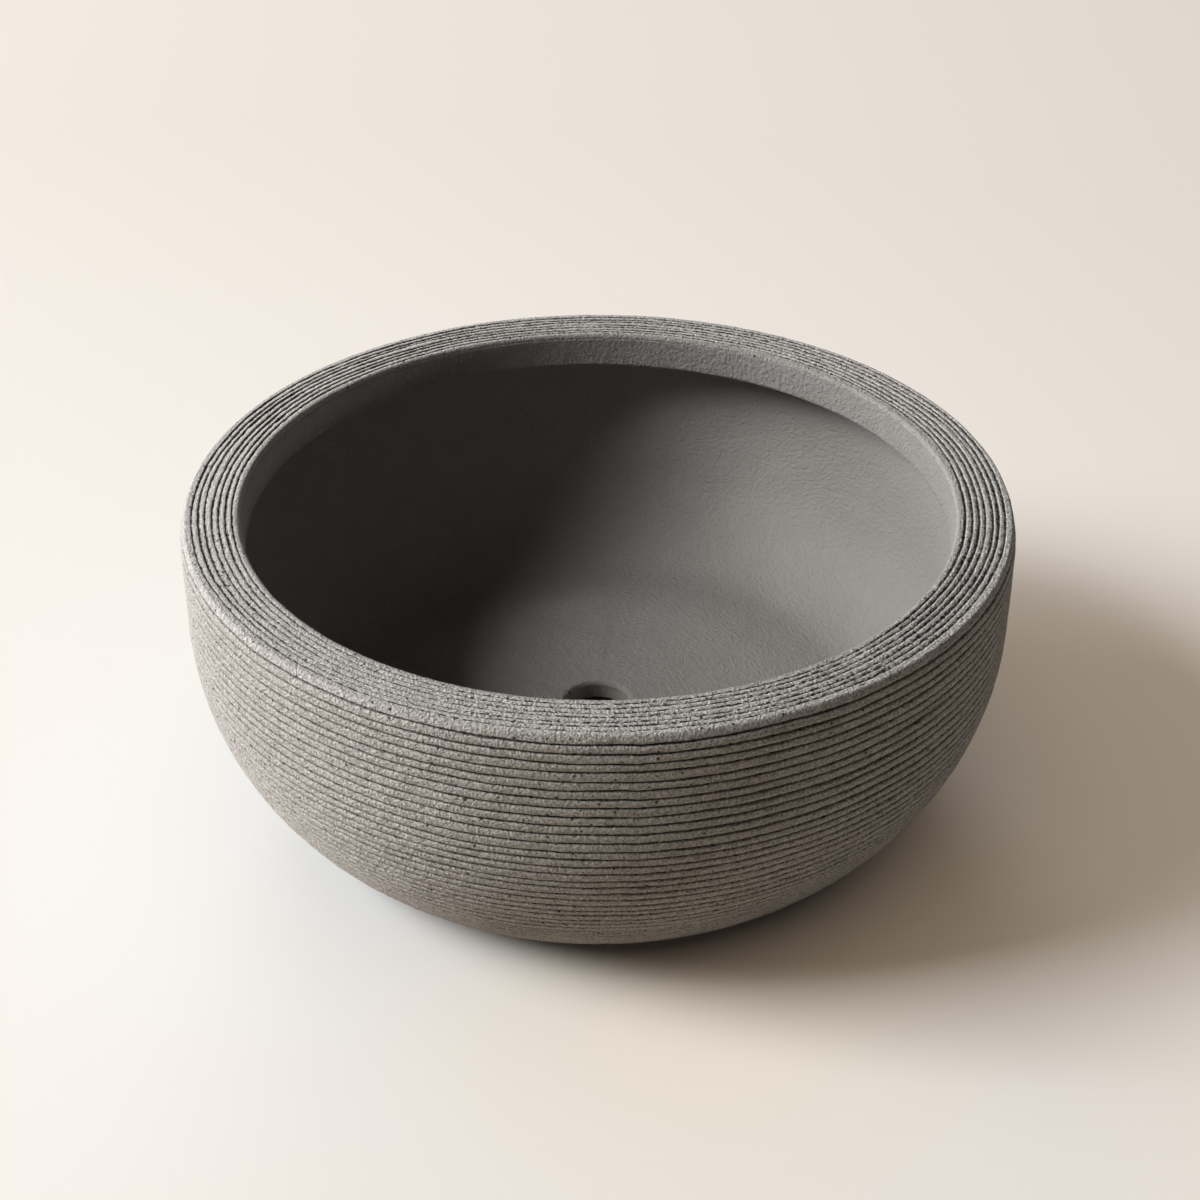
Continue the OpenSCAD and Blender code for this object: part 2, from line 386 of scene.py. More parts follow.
def wall_grooves(rng, azimuth, start, end):
    """Middle, width and strength of each groove in the wall, round the ring."""
    high_drift = waver(rng, azimuth, WALL_DRIFT_HIGH)
    low_drift = waver(rng, azimuth, WALL_DRIFT_LOW)
    seam = swells(azimuth, WALL_SEAMS)
    widened = swells(azimuth, WALL_WIDENED)
    grooves = []
    count = int((end - WALL_LAST - start - WALL_FIRST) / WALL_PITCH) + 1
    for k in range(count):
        low = k / (count - 1)
        drift = (high_drift * (1 - low) + low_drift * low + seam * rng.uniform(*SEAM_SHARE)) * MM
        own = waver(rng, azimuth, WALL_OWN) * MM
        middle = start + WALL_FIRST + k * WALL_PITCH + rng.normal(0, WALL_SCATTER) * MM + drift + own
        width = np.exp(waver(rng, azimuth, WALL_WIDTH)) * (1 + FOOT_WIDENING * near_foot(low))
        patches = np.clip(waver(rng, azimuth, WALL_PATCHES), *WALL_PATCH)
        strength = np.clip(1 + waver(rng, azimuth, WALL_DASHES), *WALL_STRENGTH)
        grooves.append((middle, width * (1 + widened * patches), strength))
    return grooves


def near_foot(low):
    """How near a groove is to the foot. low is zero at the top of the wall and one at its end."""
    return max(0, low - FOOT_START) / (1 - FOOT_START)


class Rows:
    """The rows of the combed outside, each with its length along the outline, its depth and its marks."""

    def __init__(self, columns):
        self.columns = columns
        self.length = []
        self.depth = []
        self.line = []
        self.rim = []

    def add(self, length, depth, line, rim):
        """Adds one row. line is one where a groove gets painted shade and zero on a land, and rim is one
        on the rim's top.
        """
        self.length.append(np.broadcast_to(length, self.columns))
        self.depth.append(np.broadcast_to(depth, self.columns))
        self.line.append(np.full(self.columns, float(line)))
        self.rim.append(np.full(self.columns, float(rim)))

    def land(self, before, after, shares, rim, crown):
        """Adds the rows of a land between two lengths, raised by crown in its middle."""
        for share in shares:
            rise = crown * 4 * share * (1 - share)
            self.add(before * (1 - share) + after * share, -rise, 0, rim)

    def grooves(self, grooves, section, depth, land_rows, rim, crown, foot_crown):
        """Adds grooves with the lands between them, which grow rounder towards the foot."""
        shares = np.linspace(0, 1, land_rows + 2)[1:-1]
        reach = section[-1][0] * MM
        for k, (middle, width, strength) in enumerate(grooves):
            foot_share = near_foot(k / len(grooves)) * (1 - rim)
            for across, deep in section:
                # The deeper rows of a groove get painted shade, over a wider share near the foot
                dark = deep > DARK_DEPTH - FOOT_DARKER * foot_share
                self.add(middle + across * MM * width, deep * depth * strength, dark, rim)
            if k + 1 < len(grooves):
                following, next_width, _ = grooves[k + 1]
                rise = crown + foot_crown * foot_share
                self.land(middle + reach * width, following - reach * next_width, shares, rim, rise)


def combed_rows(azimuth, starts, end):
    """All rows of the combed outside, from the rim's inner corner to the foot."""
    rng = np.random.default_rng(SEED)
    rim_start, edge_start, upright_start = starts
    rows = Rows(len(azimuth))
    rim = rim_grooves(rng, azimuth, rim_start, edge_start)
    wall = wall_grooves(rng, azimuth, upright_start, end)
    rim_reach = RIM_SECTION[-1][0] * MM
    wall_reach = WALL_SECTION[-1][0] * MM
    rim_in = rim[0][0] - rim_reach * rim[0][1]
    rim_out = rim[-1][0] + rim_reach * rim[-1][1]
    wall_in = wall[0][0] - wall_reach * wall[0][1]
    wall_out = wall[-1][0] + wall_reach * wall[-1][1]
    rows.land(0, rim_in, CORNER_SHARES, 1, 0)
    rows.grooves(rim, RIM_SECTION, RIM_DEPTH, RIM_LAND_ROWS, 1, RIM_CROWN, 0)
    rows.land(rim_out, wall_in, EDGE_SHARES, EDGE_AS_RIM, 0)
    rows.grooves(wall, WALL_SECTION, WALL_DEPTH, WALL_LAND_ROWS, 0, WALL_CROWN, FOOT_CROWN)
    rows.land(wall_out, end, FOOT_SHARES, 0, 0)
    return rows


def make_face_coat():
    """The combed coat: wavering grooves on the wall and the rim, in sandy clay."""
    outline, starts = smooth_outline()
    end = outline.length[-1]
    azimuth = np.linspace(0, FULL_TURN, AZIMUTHS, endpoint=False)
    rows = combed_rows(azimuth, starts, end)
    lengths = np.array(rows.length)
    depths = np.array(rows.depth)
    rim = np.array(rows.rim)
    rng = np.random.default_rng(SEED + 1)
    u = np.broadcast_to(azimuth / FULL_TURN, lengths.shape)
    relief = uneven(rng, u, lengths / end, FACE_UNEVEN)
    relief += RIM_ROUGH * rng.normal(size=lengths.shape) * rim
    height = -SUNK - depths + np.clip(relief * MM, -FACE_LIMIT, FACE_LIMIT)
    radius, z = outline.at(lengths, height)
    back_r, back_z = face_back(AZIMUTHS)
    radius = np.minimum(np.concatenate([radius, back_r]), face_high.y)
    z = np.minimum(np.concatenate([z, back_z]), rim_top)
    steady = lengths.mean(1)[:, None]
    front_marks = {
        "groove": np.clip(depths / WALL_DEPTH, 0, 1),
        "line": np.array(rows.line),
        "rim": rim,
        "along": steady,
        "scratched": swells(azimuth, SCRATCHED),
        "pitted": swells(azimuth, PITTED),
        # Where the rim gets its painted highlight
        "painted_light": swells(azimuth, PAINTED_LIGHT_HUMPS),
        "foot": np.clip((steady - end + FOOT_FROM) / FOOT_SPREAD, 0, 1),
    }
    hidden = np.zeros_like(back_r)
    marks = {name: np.concatenate([np.broadcast_to(values, lengths.shape), hidden])
             for name, values in front_marks.items()}
    return ring_mesh("combed_coat", radius, z, outward=False, marks=marks)


def face_back(columns):
    """The hidden back of the combed coat, from the foot up to the rim's inner corner."""
    back_r = wall_curve_r - face_t
    foot_angle = math.degrees(math.asin((wall_curve_z - face_low_z) / back_r))
    front_x = wall_curve_x + wall_curve_r * math.cos(math.radians(foot_angle)) - foot_bevel
    back_x = wall_curve_x + back_r * math.cos(math.radians(foot_angle))
    line = joined(
        straight((front_x, face_low_z), (back_x, face_low_z), 3),
        arc(wall_curve_x, wall_curve_z, back_r, back_r, -foot_angle, 0, 24),
        arc(wall_r - rim_edge_w, upright_top, rim_edge_w - face_t, rim_edge_h - face_t, 0, 90, 8),
        straight((wall_r - rim_edge_w, band_top_z), (rim_in_r, band_top_z), 6))
    return np.repeat(line[:, :1], columns, 1), np.repeat(line[:, 1:], columns, 1)


def inside_outline():
    """The smooth inside from the top of the band down to the bore, with a shallow dip round the floor."""
    floor_radii = np.linspace(cove_x, drain_r + drain_edge_r, 60)
    dip = DIP * np.exp(-((floor_radii - cove_x + DIP_IN) / DIP_SPREAD) ** 2)
    dip[0] = 0
    sink = math.degrees(math.acos(1 - inner_coat_t / drain_edge_r))
    return joined(
        straight((rim_in_r, band_top_z), (band_low_r, under_rim_z + band_bevel), 14),
        straight((band_low_r, under_rim_z + band_bevel), (band_low_r + band_bevel, under_rim_z), 3),
        straight((band_low_r + band_bevel, under_rim_z), (inside_r - rim_under_r, under_rim_z), 8),
        arc(inside_r - rim_under_r, side_z, rim_under_r, rim_under_r, 90, 0, 8),
        arc(side_x, side_z, side_r, side_r, 0, cove_turn - 90, 40),
        arc(cove_x, cove_z, cove_r, cove_r, cove_turn - 90, -90, 44),
        np.stack([floor_radii, floor_z - dip], -1),
        arc(drain_r + drain_edge_r, floor_z - drain_edge_r, drain_edge_r, drain_edge_r, 90, 90 + sink, 6))


def inside_back():
    """The hidden back of the smooth coat, from the bore up to the top of the band."""
    t = inner_coat_t
    sink = math.radians(90 + math.degrees(math.acos(1 - t / drain_edge_r)))
    bore_x = drain_r + drain_edge_r + drain_edge_r * math.cos(sink)
    return joined(
        straight((bore_x, floor_z - t), (cove_x, floor_z - t), 6),
        arc(cove_x, cove_z, cove_r + t, cove_r + t, -90, cove_turn - 90, 16),
        arc(side_x, side_z, side_r + t, side_r + t, cove_turn - 90, 0, 12),
        arc(inside_r - rim_under_r, side_z, rim_under_r + t, rim_under_r + t, 0, 90, 8),
        straight((inside_r - rim_under_r, under_rim_z + t), (band_low_r + t, under_rim_z + t), 4),
        straight((band_low_r + t, under_rim_z + t), (rim_in_r + t, band_top_z), 4))


def make_inner_coat():
    """The smooth trowelled coat: band, undercut, wall, cove and floor, with its hidden back."""
    visible = inside_outline()
    outline = Outline(visible)
    end = outline.length[-1]
    azimuth = np.linspace(0, FULL_TURN, INSIDE_AZIMUTHS, endpoint=False)
    rng = np.random.default_rng(SEED + 2)
    lengths = np.repeat(outline.length[:, None], INSIDE_AZIMUTHS, 1)
    u = np.broadcast_to(azimuth / FULL_TURN, lengths.shape)
    relief = uneven(rng, u, lengths / end, INSIDE_UNEVEN)
    fade = np.clip(lengths / TOP_FADE, 0, 1) * np.clip((end - lengths) / BORE_FADE, 0, 1)
    depth = np.clip(relief * MM, -INSIDE_LIMIT, INSIDE_LIMIT) * fade
    depth += drain_chips(rng, azimuth, end - lengths)
    r, z = outline.at(lengths, -depth)
    back = inside_back()[1:]
    r = np.concatenate([r, np.repeat(back[:, :1], INSIDE_AZIMUTHS, 1)])
    z = np.concatenate([z, np.repeat(back[:, 1:], INSIDE_AZIMUTHS, 1)])
    # The ring mark carries painted shade round the crease between the floor and the cove
    from_ring = np.hypot(visible[:, 0] - cove_x + RING_IN, visible[:, 1] - floor_z)
    ring = np.repeat(np.exp(-(from_ring / RING_SPREAD) ** 2)[:, None], INSIDE_AZIMUTHS, 1)
    hidden = np.zeros((len(back), INSIDE_AZIMUTHS))
    marks = {"along": np.concatenate([lengths, hidden]), "ring": np.concatenate([ring, hidden])}
    return ring_mesh("trowelled_coat", r, z, outward=True, marks=marks)


def drain_chips(rng, azimuth, from_bore):
    """Small chips in the edge of the drain hole."""
    chips = np.zeros_like(from_bore)
    for _ in range(CHIPS):
        away = np.angle(np.exp(1j * (azimuth - rng.uniform(0, FULL_TURN)))) * drain_r
        width = rng.uniform(*CHIP_WIDTH) * MM
        reach = rng.uniform(*CHIP_REACH) * MM
        bite = np.exp(-(away / width) ** 2)[None, :] * np.clip(1 - from_bore / reach, 0, 1)
        chips = np.maximum(chips, rng.uniform(*CHIP_DEPTH) * MM * bite)
    return chips


# Materials

# Colours are linear, and scales are in cells to the metre
SANDY = ((0.525, 0.498, 0.473), (0.570, 0.543, 0.518))
SANDY_MOTTLE = (0.44, 0.412, 0.388)
DARK_GRAIN = (0.22, 0.202, 0.187)
PALE_GRAIN = (0.86, 0.83, 0.80)
SALT = (0.76, 0.74, 0.72)
PEPPER = (0.19, 0.172, 0.157)
# Painted highlight: the paler colour of the rim's left and far left, where the lamps fall
PAINTED_RIM_LIGHT = (0.82, 0.785, 0.755)
RIM_CORNER = (0.31, 0.295, 0.28)
# Painted shade, with some dirt, over the grooves, and darker still in their middle
GROOVE_SHADE = (0.14, 0.123, 0.110)
LINE_SHADE = (0.085, 0.075, 0.067)
SCRATCH = (0.15, 0.132, 0.118)
PIT = (0.05, 0.044, 0.039)

SMOOTH = ((0.288, 0.276, 0.263), (0.314, 0.301, 0.288))
SMOOTH_MOTTLE = (0.250, 0.238, 0.227)
SMOOTH_FINE = (0.352, 0.338, 0.324)
BAND_SHADE = (0.225, 0.213, 0.202)
# Painted shade for the crease round the floor
PAINTED_CREASE_SHADE = (0.168, 0.159, 0.150)

BODY = ((0.262, 0.240, 0.221), (0.315, 0.291, 0.270))
BODY_GRAIN = (0.38, 0.355, 0.332)
BODY_PIT = (0.1, 0.088, 0.08)
GLASS = ((0.25, 0.233, 0.217), (0.36, 0.345, 0.325))
GLASS_CLAY = (0.23, 0.213, 0.198)

# The darker corner of the rim, by its length along the outline
CORNER_FROM = 5.5 * MM
CORNER_TO = 3.0 * MM

# The length over which the band's look goes over into the inside's
BAND_BLEND = 2 * MM

# Pits: the size of the smallest, and how far in their edge begins, as shares of the largest
SMALL_PIT = 0.55
PIT_EDGE = 0.55

# How far the waves of the inside push the trowel's strokes aside, in cells
STROKE_BEND = 34.0


class Nodes:
    """A short way to write a material's nodes. A value is a number, a colour or another node's output."""

    def __init__(self, name):
        self.material = bpy.data.materials.new(name)
        self.material.use_nodes = True
        self.tree = self.material.node_tree
        self.shader = self.tree.nodes["Principled BSDF"]
        self.place = self.add("ShaderNodeTexCoord").outputs["Object"]

    def add(self, kind, **settings):
        """A new node with its settings."""
        node = self.tree.nodes.new(kind)
        for name, value in settings.items():
            setattr(node, name, value)
        return node

    def link(self, source, target):
        """Joins an output to an input."""
        self.tree.links.new(source, target)

    def put(self, node, name, value):
        """Gives a node's input a value."""
        if isinstance(value, bpy.types.NodeSocket):
            self.link(value, node.inputs[name])
        else:
            node.inputs[name].default_value = value

    def mark(self, name):
        """A number that the mesh holds at each point."""
        return self.add("ShaderNodeAttribute", attribute_name=name).outputs["Fac"]

    def noise(self, scale, detail=3.0, roughness=0.55, distortion=0.0, place=None):
        """Cloudy noise, mostly between 0.3 and 0.7."""
        node = self.add("ShaderNodeTexNoise")
        self.link(place or self.place, node.inputs["Vector"])
        self.put(node, "Scale", scale)
        self.put(node, "Detail", detail)
        self.put(node, "Roughness", roughness)
        self.put(node, "Distortion", distortion)
        return node.outputs["Fac"]

    def cells(self, scale):
        """Round cells, each with a colour of its own and the distance from its middle."""
        node = self.add("ShaderNodeTexVoronoi")
        self.link(self.place, node.inputs["Vector"])
        self.put(node, "Scale", scale)
        return node

    def spread(self, value, low, high, at_low=0.0, at_high=1.0):
        """at_low where the value is low, at_high where it is high, and in between a straight line."""
        node = self.add("ShaderNodeMapRange")
        self.put(node, "Value", value)
        self.put(node, "From Min", low)
        self.put(node, "From Max", high)
        self.put(node, "To Min", at_low)
        self.put(node, "To Max", at_high)
        return node.outputs["Result"]

    def math(self, operation, first, second):
        """One step of reckoning on two values."""
        node = self.add("ShaderNodeMath", operation=operation)
        self.put(node, 0, first)
        self.put(node, 1, second)
        return node.outputs["Value"]

    def times(self, first, second):
        return self.math("MULTIPLY", first, second)

    def plus(self, first, second):
        return self.math("ADD", first, second)

    def minus(self, first, second):
        return self.math("SUBTRACT", first, second)

    def larger(self, first, second):
        return self.math("MAXIMUM", first, second)

    def mix(self, share, first, second, blend="MIX"):
        """The first colour with a share of the second."""
        node = self.add("ShaderNodeMix", data_type="RGBA", blend_type=blend)
        colour_inputs = (6, 7)
        colour_output = 2
        self.put(node, 0, share)
        for index, value in zip(colour_inputs, (first, second)):
            self.put(node, index, (*value, 1.0) if isinstance(value, tuple) else value)
        return node.outputs[colour_output]

    def split(self, vector):
        """The three numbers of a vector, by X, Y and Z."""
        node = self.add("ShaderNodeSeparateXYZ")
        self.link(vector, node.inputs[0])
        return node.outputs

    def split_colour(self, colour):
        """The three numbers of a colour, by Red, Green and Blue."""
        node = self.add("ShaderNodeSeparateColor")
        self.link(colour, node.inputs[0])
        return node.outputs

    def join(self, x, y, z):
        """A vector from three values."""
        node = self.add("ShaderNodeCombineXYZ")
        for name, value in (("X", x), ("Y", y), ("Z", z)):
            self.put(node, name, value)
        return node.outputs["Vector"]

    def bump(self, height, distance, strength=1.0):
        """Surface normals of a fine relief. distance is its height in metres where height is one."""
        node = self.add("ShaderNodeBump")
        self.put(node, "Strength", strength)
        self.put(node, "Distance", distance)
        self.put(node, "Height", height)
        return node.outputs["Normal"]

    def done(self, colour, roughness, normal, specular):
        """The finished material."""
        self.put(self.shader, "Base Color", colour)
        self.put(self.shader, "Roughness", roughness)
        self.put(self.shader, "Normal", normal)
        self.put(self.shader, "Specular IOR Level", specular)
        return self.material


def grain_place(m, round_scale, along_scale):
    """Coordinates that follow the rows of a ring: long round it, and fine across it."""
    place = m.split(m.place)
    return m.join(m.times(place["X"], round_scale), m.times(place["Y"], round_scale),
                  m.times(m.mark("along"), along_scale))


def pit_mask(m, scale, size, share):
    """Scattered round pits. share is the part of the cells that has one, and size their reach."""
    cell = m.cells(scale)
    own = m.split_colour(cell.outputs["Color"])
    chosen = m.math("LESS_THAN", own["Red"], share)
    reach = m.spread(own["Green"], 0, 1, size * SMALL_PIT, size)
    inside = m.spread(m.math("DIVIDE", cell.outputs["Distance"], reach), 1.0, PIT_EDGE)
    return m.times(inside, chosen)


def combed_pits(m, marks, fewer):
    """Pits scattered over the coat, in rows beside the rim's grooves, and here and there in a line."""
    crowd = m.spread(m.noise(scale=14, detail=2), 0.40, 0.66, 0.05, 0.28)
    crowd = m.times(m.plus(crowd, m.times(marks["pitted"], 0.22)), fewer)
    scattered = pit_mask(m, scale=230, size=0.25, share=m.plus(m.times(marks["rim"], 0.10), crowd))
    dash_place = grain_place(m, round_scale=430, along_scale=420)
    dash = m.noise(scale=1.0, detail=1, roughness=0.5, place=dash_place)
    rim_groove = m.times(m.spread(marks["groove"], 0.12, 0.28), marks["rim"])
    in_rows = m.times(m.spread(dash, 0.47, 0.53), rim_groove)
    in_lines = m.times(m.spread(dash, 0.62, 0.68), marks["line"])
    return m.larger(scattered, m.larger(in_rows, in_lines))


def combed_scratches(m, marks):
    """Fine dark scratches along the rows, in patches on the scratched sides."""
    streak_place = grain_place(m, round_scale=26, along_scale=1150)
    streak = m.noise(scale=1.0, detail=3, roughness=0.6, place=streak_place)
    patches = m.spread(m.noise(scale=11, detail=2), 0.40, 0.62)
    return m.times(m.spread(streak, 0.60, 0.72), m.times(marks["scratched"], patches))


def sandy_colour(m, marks, mottle, grain, sand, fewer):
    """The clay with its dark and pale grains, which are strongest on the rim."""
    colour = m.mix(m.spread(m.noise(scale=16), 0.3, 0.7), *SANDY)
    colour = m.mix(m.spread(mottle, 0.35, 0.7, 0.0, 0.30), colour, SANDY_MOTTLE)
    strength = m.times(m.spread(marks["rim"], 0, 1, 0.6, 1.0), fewer)
    dark_grain = m.times(m.spread(grain, 0.50, 0.37, 0.0, 0.80), strength)
    colour = m.mix(dark_grain, colour, DARK_GRAIN)
    pale_grain = m.times(m.spread(grain, 0.50, 0.63, 0.0, 0.65), strength)
    colour = m.mix(pale_grain, colour, PALE_GRAIN)
    colour = m.mix(m.spread(sand["Red"], 0.6, 0.95, 0.0, 0.35), colour, SALT)
    return m.mix(m.spread(sand["Green"], 0.68, 0.95, 0.0, 0.5), colour, PEPPER)


def rim_colour(m, marks, colour):
    """Pales the rim's left and far left with a painted highlight, and darkens its inner corner."""
    # Painted highlight on the rim towards the lamps
    pale = m.times(marks["rim"], m.spread(marks["painted_light"], 0, 1, 0.02, 0.6))
    colour = m.mix(pale, colour, PAINTED_RIM_LIGHT)
    corner = m.spread(marks["along"], CORNER_FROM, CORNER_TO, 0.0, 0.75)
    return m.mix(m.times(corner, marks["rim"]), colour, RIM_CORNER)


def painted_groove_shade(m, marks, colour):
    """Darkens the grooves with painted shade and some dirt, with ragged edges, and most of all near the
    foot.
    """
    ragged = m.spread(m.noise(scale=520, detail=2, roughness=0.6), 0.3, 0.7, -0.4, 0.4)
    torn = m.plus(marks["groove"], m.times(ragged, m.spread(marks["groove"], 0.02, 0.2)))
    strength = m.spread(marks["foot"], 0, 1, 0.58, 0.85)
    colour = m.mix(m.times(m.spread(torn, 0.16, 0.62), strength), colour, GROOVE_SHADE)
    return m.mix(m.times(m.spread(marks["line"], 0.3, 0.8), strength), colour, LINE_SHADE)


def combed_clay():
    """Sandy clay of the outside: grains, dark pits, fine scratches, a painted highlight on the rim's
    left, and painted shade with some dirt in the grooves.
    """
    m = Nodes("combed_clay")
    names = ("groove", "line", "rim", "along", "scratched", "pitted", "painted_light", "foot")
    marks = {name: m.mark(name) for name in names}
    mottle = m.noise(scale=170, detail=4, roughness=0.6)
    grain = m.noise(scale=640, detail=2, roughness=0.65)
    sand = m.split_colour(m.cells(scale=980).outputs["Color"])
    fewer = m.spread(marks["foot"], 0, 1, 1.0, 0.4)
    pits = combed_pits(m, marks, fewer)
    scratches = combed_scratches(m, marks)
    colour = sandy_colour(m, marks, mottle, grain, sand, fewer)
    colour = rim_colour(m, marks, colour)
    colour = painted_groove_shade(m, marks, colour)
    colour = m.mix(m.times(scratches, 0.5), colour, SCRATCH)
    colour = m.mix(m.times(pits, 0.88), colour, PIT)
    height = m.plus(m.times(mottle, 0.5), m.times(grain, 1.5))
    height = m.plus(height, m.times(sand["Blue"], 0.35))
    height = m.minus(height, m.times(pits, 1.2))
    height = m.minus(height, m.times(scratches, 0.6))
    normal = m.bump(height, distance=1.35 * MM)
    return m.done(colour, m.spread(mottle, 0.3, 0.7, 0.88, 0.98), normal, specular=0.2)


def trowelled_height(m, band, fine):
    """Curved strokes of the trowel, in patches, over an uneven skin. The band has no strokes."""
    place = m.split(grain_place(m, round_scale=170, along_scale=560))
    bend = m.times(m.noise(scale=11, detail=2), STROKE_BEND)
    swirled = m.join(place["X"], place["Y"], m.plus(place["Z"], bend))
    strokes = m.noise(scale=1.0, detail=4, roughness=0.65, distortion=0.3, place=swirled)
    peel = m.noise(scale=360, detail=4, roughness=0.65)
    worked = m.spread(m.noise(scale=12, detail=2), 0.36, 0.64, 0.45, 1.0)
    worked = m.times(worked, m.spread(band, 0, 1, 0.62, 0.0))
    height = m.times(strokes, worked)
    height = m.plus(height, m.times(peel, m.spread(band, 0, 1, 0.55, 1.1)))
    return m.plus(height, m.times(fine, 0.2))


def trowelled_clay():
    """Smooth clay of the inside, with a rougher band and a darker ring of painted shade round the floor's
    crease.
    """
    m = Nodes("trowelled_clay")
    mottle = m.noise(scale=60, detail=5, roughness=0.6, distortion=0.6)
    fine = m.noise(scale=850, roughness=0.65)
    band = m.spread(m.mark("along"), BAND_LENGTH, BAND_LENGTH - BAND_BLEND)
    colour = m.mix(m.spread(m.noise(scale=9), 0.3, 0.7), *SMOOTH)
    colour = m.mix(m.spread(mottle, 0.3, 0.75, 0.0, 0.3), colour, SMOOTH_MOTTLE)
    colour = m.mix(m.spread(fine, 0.35, 0.7, 0.0, 0.35), colour, SMOOTH_FINE)
    rough = m.spread(m.noise(scale=140, detail=4, roughness=0.6), 0.3, 0.75, 0.15, 0.65)
    colour = m.mix(m.times(band, rough), colour, BAND_SHADE)
    # Painted shade in the crease round the floor
    colour = m.mix(m.times(m.mark("ring"), 0.32), colour, PAINTED_CREASE_SHADE)
    normal = m.bump(trowelled_height(m, band, fine), distance=2.0 * MM)
    return m.done(colour, m.spread(mottle, 0.3, 0.7, 0.8, 0.92), normal, specular=0.25)


def body_clay():
    """Rough clay of the hidden body, seen on the foot and under the floor."""
    m = Nodes("body_clay")
    grain = m.noise(scale=520, detail=4, roughness=0.7)
    pits = pit_mask(m, scale=150, size=0.24, share=0.4)
    colour = m.mix(m.spread(m.noise(scale=12), 0.3, 0.7), *BODY)
    colour = m.mix(m.spread(grain, 0.35, 0.7, 0.0, 0.6), colour, BODY_GRAIN)
    colour = m.mix(m.times(pits, 0.8), colour, BODY_PIT)
    height = m.minus(m.times(grain, 0.8), pits)
    normal = m.bump(height, distance=0.8 * MM, strength=0.9)
    return m.done(colour, m.spread(grain, 0.3, 0.7, 0.88, 0.97), normal, specular=0.25)


def glass_mat():
    """Chopped glass strands soaked in clay, seen as a thin line in the bore."""
    m = Nodes("glass_mat")
    strands = m.noise(scale=900, detail=2, roughness=0.4, distortion=3.0)
    clay = m.noise(scale=300, detail=4, roughness=0.6)
    colour = m.mix(m.spread(strands, 0.52, 0.62), *GLASS)
    colour = m.mix(m.spread(clay, 0.4, 0.7, 0.0, 0.7), colour, GLASS_CLAY)
    normal = m.bump(strands, distance=0.3 * MM, strength=0.6)
    return m.done(colour, m.spread(clay, 0.3, 0.7, 0.7, 0.9), normal, specular=0.3)


# Studio

FLOOR_RADIUS = 4.0
FLOOR_SIDES = 96

# The floor's colour as the camera sees it: brightest on the left, a painted pool of light, a little warm
# in front of the bowl, which is painted warm bounce light, and dimmer far to the left
FLOOR_SEEN = (0.633, 0.636, 0.625)
FLOOR_BRIGHT = (0.735, 0.765, 0.785)
BRIGHT_PLACE = (-0.3, -0.15, 0.0)
BRIGHT_REACH = 1.3
WARM_PLACE = (0.05, -0.22, 0.0)
WARM_REACH = 0.19
WARM_TINT = (1.09, 0.97, 0.84)
DIM_FROM = -0.7
DIM_TO = -3.5
DIM_SHARE = 0.42
CLOUD_SHARE = 0.08

# The colour that the floor throws back at the bowl
FLOOR_BOUNCE = (0.525, 0.450, 0.360)

# The lift of the floor for the camera. It fades towards the bowl, which paints contact shade round it,
# and grows on the far right
FLOOR_LIFT = 0.27
FLOOR_LIFT_COLOUR = (1.02, 0.77, 0.55)
OPEN_START = 0.19
OPEN_REACH = 0.08
OPEN_LOSS = 0.95
FAR_FROM = 0.8
FAR_TO = 3.5
FAR_LIFT = 0.3

BACKDROP_SEEN = (0.84, 0.78, 0.71)
FILL_COLOUR = (1.0, 0.93, 0.85)
FILL_STRENGTH = 0.006

# Soft boxes: azimuth and elevation in degrees, width and height in metres, power in watts, and colour
LIGHT_DISTANCE = 10.0
LIGHTS = {
    "key_light": (186, 37, 4.4, 4.6, 1200, (1.0, 0.99, 0.975)),
    "low_light": (166, 8, 2.6, 2.1, 620, (0.97, 1.0, 1.02)),
    "back_light": (100, 14, 4.0, 2.5, 310, (1.0, 0.99, 0.98)),
    "side_light": (0, 3.4, 3.6, 0.4, 80, (1.0, 0.95, 0.90)),
}

# The camera at the photograph's place, which the rim, the band and the grooves gave
CAMERA_PLACE = (0.0, -1.1555, 0.8687)
CAMERA_BELOW_LEVEL = 32.855
CAMERA_TURN = -0.0595
CAMERA_ROLL = 0.163
CAMERA_LENS = 66.44
CAMERA_SENSOR = 36
CAMERA_REACH = 60


def seen_directly(tree):
    """One for camera rays and for those that gloss or glass passes on, and zero for all others."""
    rays = tree.nodes.new("ShaderNodeLightPath")
    seen = rays.outputs["Is Camera Ray"]
    for kind in ("Is Glossy Ray", "Is Transmission Ray"):
        either = tree.nodes.new("ShaderNodeMath")
        either.operation = "MAXIMUM"
        tree.links.new(seen, either.inputs[0])
        tree.links.new(rays.outputs[kind], either.inputs[1])
        seen = either.outputs["Value"]
    return seen


def distance_from(m, place):
    """The distance from a place on the floor."""
    distance = m.add("ShaderNodeVectorMath", operation="DISTANCE")
    m.link(m.place, distance.inputs[0])
    m.put(distance, 1, place)
    return distance.outputs["Value"]


def floor_colour(m, x):
    """The floor's colour as the camera sees it, with a painted pool of light on the left and painted warm
    light in front of the bowl.
    """
    # A painted pool of light on the left
    from_bright = m.spread(distance_from(m, BRIGHT_PLACE), 0, BRIGHT_REACH)
    colour = m.mix(from_bright, FLOOR_BRIGHT, FLOOR_SEEN)
    # Painted warm bounce light in front of the bowl
    warm = m.spread(distance_from(m, WARM_PLACE), 0, WARM_REACH, 1.0, 0.0)
    colour = m.mix(warm, colour, WARM_TINT, "MULTIPLY")
    clouds = m.spread(m.noise(scale=0.6, detail=1), 0.3, 0.7, 0.0, CLOUD_SHARE)
    colour = m.mix(clouds, colour, FLOOR_BRIGHT)
    return m.mix(1.0, colour, m.spread(x, DIM_FROM, DIM_TO, 1.0, DIM_SHARE), "MULTIPLY")


